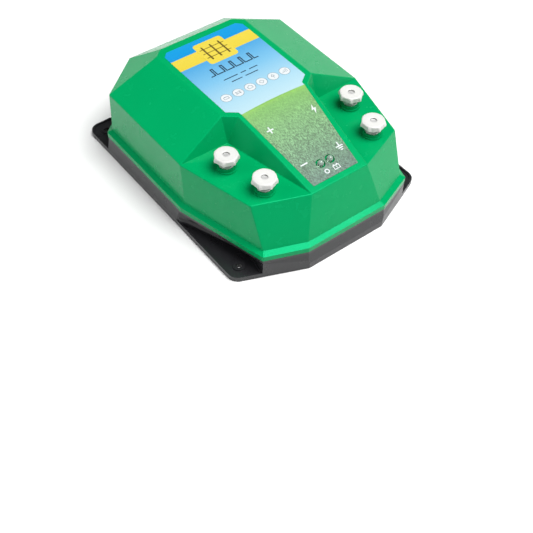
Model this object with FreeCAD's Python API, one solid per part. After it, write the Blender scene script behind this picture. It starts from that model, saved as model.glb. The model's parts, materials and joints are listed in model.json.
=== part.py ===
import FreeCAD, Part
import math
import os

from FreeCAD import Placement, Rotation, Vector

# Battery and mains-adapter fence energizer, lying on its back: the mounting face is z = 0, +Z points away
# from the wall, the nose with the status lamps points to -Y and +X is the right-hand side. Millimetres.

# housing
eave_z = 60.5            # top of the walls, and the level of the two terminal decks
roof_z = 81.0            # flat top that carries the label
wall = 2.6               # moulded wall thickness
eave = [(26.2, -100.3), (68.9, -83.8), (85.2, -19.7), (85.2, 79.3), (47.6, 109.3)]  # right half, nose first
drafts = [19.0, 3.3, 1.5, 1.5, 1.5]      # degrees, of the wall that starts at each of those corners
nose_draft = 15.3
edge_round = 1.1

roof_half_x = 42.8       # flat top: half width, back edge, fold and narrow spine down to the nose
roof_back_y = 80.5
roof_corner_run = 30.5   # level run of the two back hips
recess_top_y = -13.0     # the terminal recess starts here on the flat top
fold_y = -20.7
spine_half_x = 32.9      # half width of the spine at the fold
recess_corner = (43.0, -20.5)            # inner corner of the terminal deck
nose_half_x, nose_y = eave[0]
side_x, recess_y = eave[2]

# flange and seal
flange_z = 18.2          # underside of the cover's flange
flange_h = 4.3
flange_outs = [4.4, 3.6, 3.9, 3.9, 3.9]  # how far it stands out of each of those walls
nose_flange_out = 3.9
flange_slope = 2.0
flange_w = 6.5           # to its inner face
flange_corner_r = 2.0
flange_lap = 0.6         # how far its slope and the wall run into each other
flange_root_z = flange_z + flange_h + flange_slope
groove = (2.2, 4.4)      # seal groove, measured inwards from the flange's edge
groove_h = 4.0
seal_h = 1.3
tongue = (2.4, 4.2)

# tray
tray_z = 18.0
tray_inset = 0.4
tray_draft_run = 2.0      # how far the walls lean out at their foot, unless the plate ends first
floor_z = 3.0
ear_z = 4.5              # edge rim of the mounting ears
ear_floor_z = 3.4
ear_rim = 1.6
ear_corner_r = 9.0
shelf_z = 15.3
tray_wall = 2.6
pocket_front, pocket_end_y = (63.5, -74.0), -20.8   # wall of the front ear pockets, which undercut the flange
ledge_top_z, ledge_w = 9.0, (3.4, 0.8)   # sloping ledge at the foot of a pocket's wall, front and back
plate_x, plate_y, ear_nose_x, ear_front_y = 91.0, 114.9, 36.3, -92.4
hole_r, hole_ring_r = 2.2, 4.6
hole_x, hole_front_y, hole_back_y = 79.5, -84.5, 103.5
case_screw_at = [(30.0, -99.0), (79.0, 0.0), (44.0, 101.0)]
screw_post_r = 4.2
screw_shank_r, screw_head_r, screw_head_h = 1.75, 3.3, 2.4
screw_seat_z, screw_top_z = 8.0, 32.0

# terminals: name, x, y
terminals = [("positive", -59.4, -41.9), ("negative", -51.3, -76.9), ("fence", 59.4, -41.9),
             ("earth", 51.3, -76.9)]
boss_r, boss_h = 7.0, 3.4
step_r, step_h = 8.1, 1.2
stud_r = 3.0             # M6
thread_clear = 0.05
stud_hole_r = 3.2
washer_r, washer_t = 6.6, 1.0
hex_across, nut_t, head_h = 10.0, 2.8, 4.0
hex_clear = 0.1
stud_top_z = 73.0
knob_r, knob_taper = 10.0, 0.8
knob_lobes, lobe_r = 7, 2.3
knob_h, hub_h = 4.6, 4.6
collar_r, collar_h = 6.0, 1.3
insert_r, insert_h = 4.3, 7.7
knob_recess_r = 3.4
terminal_seal_r, lug_t, lug_r = 6.0, 0.8, 5.0
barrel_r, barrel_out, barrel_end = 1.9, 6.8, 12.0
boss_top_z = eave_z + boss_h
hub_z = boss_top_z + washer_t
knob_z = hub_z + hub_h
knob_top_z = knob_z + knob_h
deck_under_z = eave_z - wall
lug_top_z = deck_under_z - 1.0
head_top_z = lug_top_z - lug_t
barrel_z = head_top_z - 0.5

# label and lamps
label_t, label_sunk = 0.4, 0.3
label_half = [(20.9, -95.7), (30.2, -17.0), (37.9, -11.3), (37.9, 69.6), (33.6, 73.9)]
lamp_x, lamp_y = 4.4, -82.8
lamp_r, lamp_body_h, lamp_rim_r, lamp_rim_h = 2.5, 5.6, 2.9, 1.0
lamp_well_r, lamp_well_depth = 3.6, 1.7
lamp_cut_r = 3.8
lamp_back = 6.3          # depth of the lamps' rims under the sloping panel
lamp_board = (28.0, 12.0, 1.6)
lamp_post_x, lamp_post_r = 11.0, 2.4

# inside
board_z, board_t = 14.0, 1.6
board_x, board_y0, board_y1 = 68.0, -12.0, 88.0
board_screw_at = [(62.0, -6.0), (62.0, 82.0)]
top_z = board_z + board_t
capacitor = (32.0, 18.5, 38.0)
capacitor_x, capacitor_y0, capacitor_pitch = -42.0, 9.25, 20.0
pulse = (0.0, -58.0, 5.0, 60.0, 30.0)       # pulse transformer: x, y, underside, core width and depth
charger = (19.0, 54.0, top_z, 36.0, 12.0)   # the same for the charging one
strap_t, strap_d, foot_out = 1.2, 16.0, 12.0
sink_x, sink_y0, sink_out, sink_h, fin_pitch, fins, fin_t = 46.0, 2.0, 16.0, 32.0, 7.4, 7, 1.6
device_y, device_hole_z = (13.0, 37.0), top_z + 18.0
fuse_x, fuse_y, fuse_z, fuse_r = 12.0, -4.0, top_z + 5.0, 2.6
chip_at, input_capacitor_at = (6.0, 13.0), (30.0, 24.0)
block_x0, block_y0, block_pitch, block_ways = -48.0, -11.0, 6.0, 6
block_d, block_h, block_hole_h = 9.0, 11.0, 5.0
wire_r = 1.0
pin_pitch = 2.54
storage_capacitors = 4
lug_turn = {"positive": 0.0, "negative": 90.0, "fence": 180.0, "earth": 180.0}

mounting_holes = [(s * hole_x, y) for s in (1, -1) for y in (hole_front_y, hole_back_y)]
strap_screw_at = [(s * (pulse[3] / 2 + strap_t + foot_out / 2), pulse[1]) for s in (1, -1)]
far = 400.0
slope_angle = math.degrees(math.atan2(roof_z - eave_z, fold_y - nose_y))


# helpers
def mirrored(half):
    """Closed outline, counter-clockwise, from its right half listed from nose to back."""
    return list(half) + [(-x, y) for x, y in reversed(half)]


def offset(points, grow):
    """Outline moved outwards by grow, or by one distance for each edge."""
    n = len(points)
    grows = grow if isinstance(grow, list) else [grow] * n
    lines = []
    for i in range(n):
        (x0, y0), (x1, y1) = points[i], points[(i + 1) % n]
        size = math.hypot(x1 - x0, y1 - y0)
        nx, ny = (y1 - y0) / size, -(x1 - x0) / size
        lines.append((nx, ny, nx * x0 + ny * y0 + grows[i]))
    moved = []
    for i in range(n):
        (a, b, c), (d, e, f) = lines[i - 1], lines[i]
        det = a * e - b * d
        moved.append(((c * e - b * f) / det, (a * f - c * d) / det))
    return moved


def wire(points, z):
    return Part.makePolygon([Vector(x, y, z) for x, y in points + points[:1]])


def prism(points, z0, z1):
    return Part.Face(wire(points, z0)).extrude(Vector(0, 0, z1 - z0))


def box(x0, x1, y0, y1, z0, z1):
    return Part.makeBox(x1 - x0, y1 - y0, z1 - z0, Vector(x0, y0, z0))


def rod(r, x, y, z0, z1):
    return Part.makeCylinder(r, z1 - z0, Vector(x, y, z0))


def ring(r_out, r_in, x, y, z0, z1):
    return rod(r_out, x, y, z0, z1).cut(rod(r_in, x, y, z0 - 1, z1 + 1))


def hexagon(across, x, y, z0, z1):
    r = across / math.sqrt(3)
    turns = [math.radians(60 * k) for k in range(6)]
    corners = [(x + r * math.cos(turn), y + r * math.sin(turn)) for turn in turns]
    return prism(corners, z0, z1)


def both_sides(points):
    return [(s * x, y) for x, y in points for s in (1, -1)]


def behind(point, normal):
    """Half space on the far side of a plane, as a large block to cut with."""
    block = Part.makeBox(far, far, far, Vector(-far / 2, -far / 2, 0))
    block.Placement = Placement(point, Rotation(Vector(0, 0, 1), normal))
    return block


def in_front(form, planes, move):
    """The part of form that lies inside all planes, each moved along its normal."""
    for point, normal in planes:
        unit = Vector(normal).normalize()
        form = form.cut(behind(point + unit * move, unit))
    return form


def through(a, b, c):
    """Plane through three points, as a point and a normal."""
    return a, (b - a).cross(c - a).normalize()


def join(shapes):
    return shapes[0].multiFuse(shapes[1:]).removeSplitter()


def on_slope(shape, x, y):
    """Places a shape made about the origin on the sloping nose panel, its Z along the panel's normal."""
    z = roof_z + (y - fold_y) * math.tan(math.radians(slope_angle))
    shape.Placement = Placement(Vector(x, y, z), Rotation(Vector(1, 0, 0), slope_angle))
    return shape


def save(name, shape):
    solids = shape.Solids
    bad = [s for s in solids if not s.isValid() or not s.isClosed() or s.Volume <= 0]
    kept = solids[0] if len(solids) == 1 else Part.makeCompound(solids)
    kept.exportStep(f"parts/{name}.step")
    mark = "  BAD" if bad or not solids else ""
    print(f"{name:26s} solids {len(solids):2d}  volume {kept.Volume / 1000:9.3f} cm3{mark}")


# housing surfaces
eave_line = mirrored(eave)


def every_wall(right, nose):
    """One value for each wall of the closed outline, from those of the right half."""
    return right + right[3::-1] + [nose]


edge_drafts = every_wall(drafts, nose_draft)
edge_flange = every_wall(flange_outs, nose_flange_out)


def wall_outline(z):
    return offset(eave_line, [(eave_z - z) * math.tan(math.radians(d)) for d in edge_drafts])


flange_line = offset(wall_outline(flange_root_z), edge_flange)
inner_line = offset(flange_line, -flange_w)
tray_line = offset(flange_line, -tray_inset)


def wall_planes():
    planes = []
    for i, ((x0, y0), (x1, y1)) in enumerate(zip(eave_line, eave_line[1:] + eave_line[:1])):
        size = math.hypot(x1 - x0, y1 - y0)
        lean = math.radians(edge_drafts[i])
        out = Vector((y1 - y0) / size * math.cos(lean), -(x1 - x0) / size * math.cos(lean), math.sin(lean))
        planes.append((Vector(x0, y0, eave_z), out))
    return planes


def roof_planes():
    rise = roof_z - eave_z
    back = eave[4][1]
    planes = [(Vector(0, 0, roof_z), Vector(0, 0, 1)), (Vector(0, fold_y, roof_z), on_slope_normal())]
    planes.append((Vector(0, back, eave_z), Vector(0, rise, back - roof_back_y)))
    for s in (1, -1):
        planes.append((Vector(s * side_x, 0, eave_z), Vector(s * rise, 0, side_x - roof_half_x)))
        (x0, y0), (x1, y1) = eave[3], eave[4]
        size = math.hypot(x1 - x0, y1 - y0)
        nx, ny = (y1 - y0) / size, (x0 - x1) / size
        planes.append((Vector(s * x0, y0, eave_z), Vector(s * nx * rise, ny * rise, roof_corner_run)))
    return planes


def on_slope_normal():
    lean = math.radians(slope_angle)
    return Vector(0, -math.sin(lean), math.cos(lean))


def recess_planes(s):
    """Back wall, corner facet and spine wall of one terminal recess, with normals into the material."""
    corner = Vector(s * recess_corner[0], recess_corner[1], eave_z)
    eave_end = Vector(s * side_x, recess_y, eave_z)
    top_out = Vector(s * roof_half_x, recess_top_y, roof_z)
    top_in = Vector(s * spine_half_x, fold_y, roof_z)
    nose = Vector(s * nose_half_x, nose_y, eave_z)
    planes = []
    for a, b, c in ((corner, eave_end, top_out), (corner, top_out, top_in), (corner, top_in, nose)):
        point, normal = through(a, b, c)
        inside = Vector(s * side_x, -60, eave_z + 5)
        if (inside - point).dot(normal) > 0:
            normal = normal * -1
        planes.append((point, normal))
    return planes


def recess(s, grow):
    form = box(*sorted((s * 8.0, s * 140.0)), -160, 40, eave_z - grow, 140)
    return in_front(form, recess_planes(s), grow)


def housing_form(inset):
    form = prism(offset(wall_outline(0), 20), -20, 120)
    form = in_front(form, wall_planes() + roof_planes(), -inset)
    for s in (1, -1):
        form = form.cut(recess(s, inset))
    return form


def recess_foot(edge):
    """Whether an edge runs along the foot of a terminal recess, where the form is hollow."""
    corners = [Vector(s * recess_corner[0], recess_corner[1], eave_z) for s in (1, -1)]
    flat = edge.BoundBox.ZMax < eave_z + 1
    return flat and any((v.Point - c).Length < 0.1 for v in edge.Vertexes for c in corners)


def rounded_housing():
    form = housing_form(0)
    edges = [e for e in form.Edges if e.BoundBox.ZMax > eave_z - 1 and e.Length > 4 and not recess_foot(e)]
    for r in (edge_round, 0.8, 0.5):
        try:
            done = form.makeFillet(r, edges)
            if done.isValid():
                print("housing edges rounded to", r)
                return done
        except Exception as fault:
            print("round", r, "failed:", fault)
    return form


# cover, tray, seal and label
def flange():
    band = prism(flange_line, flange_z, flange_z + flange_h)
    top_z = flange_root_z + flange_lap * flange_slope / nose_flange_out
    rims = [wire(flange_line, flange_z + flange_h), wire(offset(wall_outline(flange_root_z), -flange_lap), top_z)]
    body = join([band, Part.makeLoft(rims, True, True)])
    uprights = [e for e in body.Edges if e.BoundBox.ZLength > 1]
    return body.makeFillet(flange_corner_r, uprights)


def band(outer, inner, z0, z1):
    """Closed rim that follows the flange, between two distances measured inwards from its edge."""
    return prism(offset(flange_line, -outer), z0, z1).cut(prism(offset(flange_line, -inner), z0 - 1, z1 + 1))


def label_skin(grow, outside, inside):
    """What lies over the sunk label surface, inside the label's outline."""
    outline = prism(offset(mirrored(label_half), grow), 50, 100)
    panels = roof_planes()[:2]
    skin = in_front(outline, panels, outside).cut(in_front(outline, panels, inside))
    for s in (1, -1):
        skin = skin.cut(on_slope(rod(lamp_cut_r - grow, 0, 0, -5, 5), s * lamp_x, lamp_y))
    return skin


def label():
    return label_skin(0, label_t - label_sunk, -label_sunk)


def terminal_boss(x, y):
    return rod(boss_r, x, y, deck_under_z, boss_top_z).fuse(rod(step_r, x, y, deck_under_z, eave_z + step_h))


def lamp_sleeve(x):
    """Tube behind the sloping panel that holds one lamp."""
    return on_slope(rod(lamp_r + 1.6, 0, 0, -lamp_back + lamp_rim_h, -1), x, lamp_y)


def lamp_hole(x):
    well = rod(lamp_well_r, 0, 0, -lamp_well_depth, 5)
    return on_slope(well.fuse(rod(lamp_r + 0.1, 0, 0, -lamp_back, 5)), x, lamp_y)


def top_cover():
    walls = box(-far, far, -far, far, flange_root_z - flange_lap, far)
    outer = rounded_housing().common(walls).fuse(flange())
    room = box(-far, far, -far, far, flange_root_z, far)
    cavity = housing_form(wall).common(room).fuse(prism(inner_line, flange_z - 1, flange_root_z))
    solid = outer.copy()
    shell = outer.cut(cavity)
    posts = [rod(screw_post_r, x, y, flange_z, 70) for x, y in both_sides(case_screw_at)]
    posts += [lamp_sleeve(s * lamp_x) for s in (1, -1)]
    posts += [on_slope(rod(lamp_post_r, 0, 0, -lamp_back, -1), s * lamp_post_x, lamp_y) for s in (1, -1)]
    shell = shell.fuse([post.common(solid) for post in posts])
    shell = shell.fuse([terminal_boss(x, y) for name, x, y in terminals])
    cuts = [band(*groove, flange_z - 1, flange_z + groove_h), label_skin(0.1, 5, -label_sunk)]
    cuts += [rod(stud_hole_r, x, y, 50, 70) for name, x, y in terminals]
    pocket_across = hex_across + 2 * hex_clear
    cuts += [hexagon(pocket_across, x, y, boss_top_z - nut_t, 70) for name, x, y in terminals]
    pilot_r, pilot_top = screw_shank_r + 0.05, screw_top_z + 2
    cuts += [rod(pilot_r, x, y, flange_z - 1, pilot_top) for x, y in both_sides(case_screw_at)]
    cuts += [lamp_hole(s * lamp_x) for s in (1, -1)]
    lamp_pilots = [rod(0.95, 0, 0, -lamp_back - 1, -1.5) for s in (1, -1)]
    cuts += [on_slope(pilot, s * lamp_post_x, lamp_y) for pilot, s in zip(lamp_pilots, (1, -1))]
    return shell.cut(cuts)


def pocket_back():
    """Where the right-hand pocket's wall meets the side of the tray."""
    return (tray_line[2][0], pocket_end_y)


def tray_outline():
    """Outside of the tray's walls at the top, with the two front ear pockets cut into it."""
    right = [(x, y) for x, y in tray_line if x > 0]
    return mirrored(right[:2] + [pocket_front, pocket_back()] + right[3:])


def plate_prism(inset, z0, z1):
    side = plate_x - inset
    half = [(ear_nose_x, -plate_y + inset), (side, ear_front_y + inset), (side, plate_y - inset)]
    return prism(mirrored(half), z0, z1)


def rounded_plate(inset, z0, z1):
    body = plate_prism(inset, z0, z1)
    corners = [e for e in body.Edges if e.BoundBox.ZLength > 1 and abs(e.BoundBox.XMin) > ear_nose_x + 1]
    return body.makeFillet(ear_corner_r - inset, corners)


def ear_recesses(walls):
    """Shallow floors of the four ears, inside a rim along the plate's edge and a strip along the walls."""
    rings = [rod(hole_ring_r, x, y, 0, ear_z) for x, y in mounting_holes]
    return rounded_plate(ear_rim, ear_floor_z, tray_z).cut([walls] + rings)


def pocket_ledge():
    """Sloping ledge at the foot of the right-hand pocket's wall; it narrows to the back."""
    (x0, y0), (x1, y1) = pocket_front, pocket_back()
    size = math.hypot(x1 - x0, y1 - y0)
    out = Vector((y1 - y0) / size, -(x1 - x0) / size, 0)
    front, back = Vector(x0, y0, 0), Vector(x1, y1, 0)
    points = [front, front + out * ledge_w[0], back + out * ledge_w[1], back]
    body = prism([(p.x, p.y) for p in points], 0, ledge_top_z)
    drop = Vector(0, 0, ledge_top_z)
    slope = through(front + drop, points[1] + Vector(0, 0, ear_floor_z), back + drop)
    return in_front(body, [slope], 0)


def tray_walls(outline):
    """Outer form of the walls: they lean out to the foot, except in the pockets, and end with the plate."""
    n = len(outline)
    upright = (1, 2, n - 4, n - 3)
    grows = [0.0 if i in upright else tray_draft_run for i in range(n)]
    walls = Part.makeLoft([wire(offset(outline, grows), 0), wire(outline, shelf_z)], True, True)
    return walls.common(plate_prism(0, 0, shelf_z))


def base_tray():
    outline = tray_outline()
    walls = tray_walls(outline)
    ledge = pocket_ledge()
    walls = walls.fuse([ledge, ledge.mirror(Vector(0, 0, 0), Vector(1, 0, 0))])
    shelf = prism(tray_line, shelf_z, tray_z)
    foot = prism(offset(outline, 1.2), 0, ear_z)
    body = join([rounded_plate(0, 0, ear_z).cut(ear_recesses(foot.fuse(walls))), walls, shelf])
    inside = prism(offset(outline, -tray_wall), floor_z, tray_z + 1)
    body = body.cut(inside).fuse(band(*tongue, tray_z, flange_z + groove_h - seal_h))
    posts = [rod(screw_post_r + 0.6, x, y, 0, flange_z) for x, y in both_sides(case_screw_at)]
    posts += [rod(4.0, x, y, 0, board_z) for x, y in both_sides(board_screw_at)]
    posts += [rod(4.5, x, y, 0, pulse[2]) for x, y in strap_screw_at]
    posts += [box(s * 22 - 5, s * 22 + 5, pulse[1] - 13, pulse[1] + 13, 0, pulse[2]) for s in (1, -1)]
    body = body.fuse(posts)
    cuts = [rod(hole_r, x, y, -1, 10) for x, y in mounting_holes]
    cuts += [rod(screw_shank_r + 0.25, x, y, -1, 20) for x, y in both_sides(case_screw_at)]
    cuts += [rod(screw_head_r + 0.4, x, y, -1, screw_seat_z) for x, y in both_sides(case_screw_at)]
    cuts += [rod(1.5, x, y, 4.5, 20) for x, y in both_sides(board_screw_at)]
    cuts += [rod(2.0, x, y, 1.0, 20) for x, y in strap_screw_at]
    return body.cut(cuts)


# terminals
def knob(x, y):
    """Star knob: a lobed, slightly tapered head with a short collar under it."""
    head = rod(knob_r - 1.1, x, y, knob_z, knob_top_z)
    lobes = []
    for k in range(knob_lobes):
        turn = 2 * math.pi * k / knob_lobes
        reach = knob_r - lobe_r
        lobes.append(rod(lobe_r, x + reach * math.cos(turn), y + reach * math.sin(turn), knob_z, knob_top_z))
    taper = Part.makeCone(knob_r + 0.2, knob_r - knob_taper, knob_h, Vector(x, y, knob_z))
    body = head.multiFuse(lobes).common(taper).fuse(rod(collar_r, x, y, knob_z - collar_h, knob_z))
    body = body.cut(rod(insert_r, x, y, hub_z - 1, hub_z + insert_h))
    return body.cut(rod(knob_recess_r, x, y, hub_z, knob_top_z + 1)).removeSplitter()


def knob_insert(x, y):
    return ring(insert_r - 0.02, stud_r + thread_clear, x, y, hub_z, hub_z + insert_h)


def clamp_washer(x, y):
    return ring(washer_r, stud_hole_r, x, y, boss_top_z, hub_z)


def stud(x, y):
    """Threaded terminal stud with its hexagon head inside the cover."""
    shank = rod(stud_r, x, y, head_top_z - 1, stud_top_z)
    tip = shank.makeChamfer(0.6, [e for e in shank.Edges if e.BoundBox.ZMin > stud_top_z - 0.01])
    return tip.fuse(hexagon(hex_across, x, y, head_top_z - head_h, head_top_z)).removeSplitter()


def terminal_nut(x, y):
    return hexagon(hex_across, x, y, boss_top_z - nut_t, boss_top_z).cut(rod(stud_r + 0.05, x, y, 50, 80))


def terminal_seal(x, y):
    return ring(terminal_seal_r, stud_hole_r, x, y, lug_top_z, deck_under_z)


def ring_lug(x, y, turn):
    """Ring and crimped barrel; the barrel leaves along the direction turn, in degrees from +X."""
    plate_z = head_top_z
    strip = box(x, x + barrel_out + 1, y - 1.5, y + 1.5, plate_z, lug_top_z)
    body = rod(lug_r, x, y, plate_z, lug_top_z).fuse(strip)
    mouth = Vector(x + barrel_out, y, barrel_z)
    barrel = Part.makeCylinder(barrel_r, barrel_end - barrel_out, mouth, Vector(1, 0, 0))
    core = Part.makeCylinder(wire_r + 0.05, 20, Vector(x + barrel_out + 1.5, y, barrel_z), Vector(1, 0, 0))
    body = body.fuse(barrel).cut([rod(stud_hole_r, x, y, 50, 60), core])
    body.rotate(Vector(x, y, 0), Vector(0, 0, 1), turn)
    return body


# lamps
def status_lamp(x):
    body = rod(lamp_rim_r, 0, 0, -lamp_back, -lamp_back + lamp_rim_h)
    body = body.fuse(rod(lamp_r, 0, 0, -lamp_back, -lamp_back + lamp_rim_h + lamp_body_h))
    dome = Part.makeSphere(lamp_r, Vector(0, 0, -lamp_back + lamp_rim_h + lamp_body_h))
    return on_slope(body.fuse(dome.common(box(-9, 9, -9, 9, -lamp_back + 2, 9))).removeSplitter(), x, lamp_y)


def lamp_circuit():
    w, d, t = lamp_board
    body = box(-w / 2, w / 2, -d / 2, d / 2, -lamp_back - t, -lamp_back)
    holes = [rod(1.1, s * lamp_post_x, 0, -20, 0) for s in (1, -1)]
    return on_slope(body.cut(holes), 0, lamp_y)


def lamp_board_screw(x):
    seat = -lamp_back - lamp_board[2]
    return on_slope(rod(1.9, 0, 0, seat - 1.4, seat).fuse(rod(0.9, 0, 0, seat - 0.5, seat + 6)), x, lamp_y)


# coils
def core_height(w):
    return w * 5 / 6


def core(x, y, z, w, d):
    """Shell-type core: outer legs and yokes a sixth of its width, middle leg a third."""
    leg, h = w / 6, core_height(w)
    body = box(x - w / 2, x + w / 2, y - d / 2, y + d / 2, z, z + h)
    spans = [sorted((x + s * leg, x + s * 2 * leg)) for s in (1, -1)]
    windows = [box(*span, y - d, y + d, z + leg, z + h - leg) for span in spans]
    return body.cut(windows)


def frame_ring(x, y, inner, outer, z0, z1):
    """Rectangular ring about a core's middle leg, from one pair of half sizes to another."""
    body = box(x - outer[0], x + outer[0], y - outer[1], y + outer[1], z0, z1)
    body = body.makeFillet(1.0, [e for e in body.Edges if e.BoundBox.ZLength > 1])
    return body.cut(box(x - inner[0], x + inner[0], y - inner[1], y + inner[1], z0 - 1, z1 + 1))


def coil_levels(w, d, share):
    """Half sizes of a winding's surface, at a share of the window's width."""
    leg = w / 6
    build = (leg - 0.4) * share
    return (leg + 0.2 + build, d / 2 + 0.2 + build)


def bobbin(x, y, z, w, d):
    leg, h = w / 6, core_height(w)
    z0, z1 = z + leg + 0.2, z + h - leg - 0.2
    inner, tube, rim = coil_levels(w, d, 0), coil_levels(w, d, 0.12), coil_levels(w, d, 1)
    body = frame_ring(x, y, inner, tube, z0, z1)
    ends = [frame_ring(x, y, inner, rim, z0, z0 + 1.2), frame_ring(x, y, inner, rim, z1 - 1.2, z1)]
    return join([body] + ends)


def winding(x, y, z, w, d, share0, share1):
    leg, h = w / 6, core_height(w)
    inner, outer = coil_levels(w, d, share0), coil_levels(w, d, share1)
    return frame_ring(x, y, inner, outer, z + leg + 1.5, z + h - leg - 1.5)


def core_strap():
    """Steel strap over the pulse transformer's core, with a screwed foot on each side."""
    x, y, z, w, d = pulse
    h = core_height(w)
    side, foot = w / 2 + strap_t, w / 2 + strap_t + foot_out
    outer = box(x - side, x + side, y - strap_d / 2, y + strap_d / 2, z, z + h + strap_t)
    feet = box(x - foot, x + foot, y - strap_d / 2, y + strap_d / 2, z, z + strap_t)
    body = outer.fuse(feet).cut(box(x - w / 2, x + w / 2, y - d, y + d, z - 1, z + h))
    return body.cut([rod(2.2, sx, sy, 0, 10) for sx, sy in strap_screw_at]).removeSplitter()


# circuit board and what stands on it
def circuit_board():
    body = box(-board_x, board_x, board_y0, board_y1, board_z, top_z)
    return body.cut([rod(1.8, x, y, 0, 30) for x, y in both_sides(board_screw_at)])


def screw(head_r, head_h, shank_r, x, y, seat, tip):
    """Pan-head screw whose head sits on seat; the tip may lie above or below it."""
    head = rod(head_r, x, y, *sorted((seat, seat + math.copysign(head_h, seat - tip))))
    return head.fuse(rod(shank_r, x, y, *sorted((seat, tip)))).removeSplitter()


def storage_capacitor(k):
    w, d, h = capacitor
    y = capacitor_y0 + capacitor_pitch * k
    body = box(capacitor_x - w / 2, capacitor_x + w / 2, y - d / 2, y + d / 2, top_z, top_z + h)
    return body.makeFillet(1.2, [e for e in body.Edges if e.BoundBox.ZMax > top_z + 1])


def heat_sink():
    ys = [sink_y0 + fin_pitch * k for k in range(fins)]
    body = join([box(sink_x, sink_x + sink_out, y, y + fin_t, top_z, top_z + sink_h) for y in ys]
                + [box(sink_x, sink_x + 3, sink_y0, ys[-1] + fin_t, top_z, top_z + sink_h)])
    return body.cut([device_hole(y) for y in device_y])


def device_hole(y):
    return Part.makeCylinder(1.3, 2.9, Vector(sink_x - 0.1, y, device_hole_z), Vector(1, 0, 0))


def power_device(y):
    """Flat-backed power package: moulded body, metal tab against the heat sink, three legs."""
    body = box(sink_x - 4.5, sink_x, y - 5, y + 5, top_z + 6, top_z + 15)
    tab = box(sink_x - 1.3, sink_x, y - 5, y + 5, top_z + 15, top_z + 21.5)
    leg_y = [y + k * pin_pitch for k in (-1, 0, 1)]
    legs = [box(sink_x - 2.6, sink_x - 2.0, ly - 0.4, ly + 0.4, top_z, top_z + 6.5) for ly in leg_y]
    hole = Part.makeCylinder(1.7, 10, Vector(sink_x - 9, y, device_hole_z), Vector(1, 0, 0))
    return join([body, tab] + legs).cut(hole)


def device_screw(y):
    head = Part.makeCylinder(2.7, 2.0, Vector(sink_x - 3.3, y, device_hole_z), Vector(1, 0, 0))
    return head.fuse(Part.makeCylinder(1.25, 4.0, Vector(sink_x - 1.4, y, device_hole_z), Vector(1, 0, 0)))


def fuse_clip(x):
    body = box(x - 2.5, x + 2.5, fuse_y - 3.6, fuse_y + 3.6, top_z, fuse_z + 2.4)
    body = body.cut(Part.makeCylinder(fuse_r + 0.02, 20, Vector(x - 9, fuse_y, fuse_z), Vector(1, 0, 0)))
    return body.cut(box(x - 9, x + 9, fuse_y - 2.0, fuse_y + 2.0, fuse_z, fuse_z + 9))


def glass_fuse():
    glass = Part.makeCylinder(fuse_r - 0.3, 20, Vector(fuse_x - 10, fuse_y, fuse_z), Vector(1, 0, 0))
    ends = [Vector(fuse_x + s * 7.5 - 2.5, fuse_y, fuse_z) for s in (1, -1)]
    caps = [Part.makeCylinder(fuse_r, 5, end, Vector(1, 0, 0)) for end in ends]
    return join([glass] + caps)


def control_chip():
    x, y = chip_at
    body = box(x - 9.5, x + 9.5, y - 3.2, y + 3.2, top_z + 0.6, top_z + 4.0)
    pins = []
    for k in range(7):
        for s in (1, -1):
            px = x + (k - 3) * pin_pitch
            pins.append(box(px - 0.3, px + 0.3, *sorted((y + s * 3.2, y + s * 3.9)), top_z, top_z + 2.4))
    return body.multiFuse(pins).removeSplitter()


def input_capacitor():
    x, y = input_capacitor_at
    can = rod(8.0, x, y, top_z, top_z + 26)
    return can.makeFillet(0.8, [e for e in can.Edges if e.BoundBox.ZLength < 1])


def way_x(k):
    return block_x0 + block_pitch * (k + 0.5)


def wire_block():
    end_x, top = block_x0 + block_pitch * block_ways, top_z + block_h
    body = box(block_x0, end_x, block_y0, block_y0 + block_d, top_z, top)
    mouths = [Vector(way_x(k), block_y0 - 0.1, top_z + block_hole_h) for k in range(block_ways)]
    ways = [Part.makeCylinder(wire_r + 0.1, 4.2, mouth, Vector(0, 1, 0)) for mouth in mouths]
    screws = [rod(1.6, way_x(k), block_y0 + 5.5, top - 1.5, top + 1) for k in range(block_ways)]
    return body.cut(ways + screws)


# wires
def tube(name, points, r):
    """Round wire along straight runs joined by tangent arcs, each as large as its two runs allow."""
    stops = [Vector(*p) for p in points]
    edges, start, radii = [], stops[0], []
    for before, corner, after in zip(stops, stops[1:], stops[2:]):
        back, ahead = (before - corner), (after - corner)
        turn = math.pi - back.getAngle(ahead)
        reach = 0.45 * min(back.Length, ahead.Length)
        radii.append(reach / math.tan(turn / 2))
        a = corner + back.normalize() * reach
        b = corner + ahead.normalize() * reach
        middle = (back + ahead).normalize()
        m = corner + middle * (radii[-1] / math.cos(turn / 2) - radii[-1])
        edges += [Part.LineSegment(start, a).toShape(), Part.Arc(a, m, b).toShape()]
        start = b
    edges.append(Part.LineSegment(start, stops[-1]).toShape())
    path = Part.Wire(edges)
    section = Part.Wire([Part.Circle(stops[0], stops[1] - stops[0], r).toShape()])
    body = path.makePipeShell([section], True, False)
    ideal = math.pi * r * r * path.Length
    share = body.Volume / ideal
    print(f"{name}: length {path.Length:.0f}, least radius {min(radii):.1f}, ratio {share:.4f}")
    return body


def lug_exit(name):
    """Where the wire enters the lug's barrel, and the barrel's direction."""
    x, y = [(tx, ty) for tn, tx, ty in terminals if tn == name][0]
    turn = math.radians(lug_turn[name])
    out = Vector(math.cos(turn), math.sin(turn), 0)
    return Vector(x, y, barrel_z) + out * (barrel_out + 2.0), out


def terminal_wire(name, middle, end, end_run):
    """Wire from a terminal's lug over hand-placed points to its end, which it meets along end_run."""
    start, out = lug_exit(name)
    last = Vector(*end)
    points = [start, start + out * 10] + [Vector(*p) for p in middle] + [last + Vector(*end_run), last]
    return tube(name + "_wire", points, wire_r)


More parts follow.
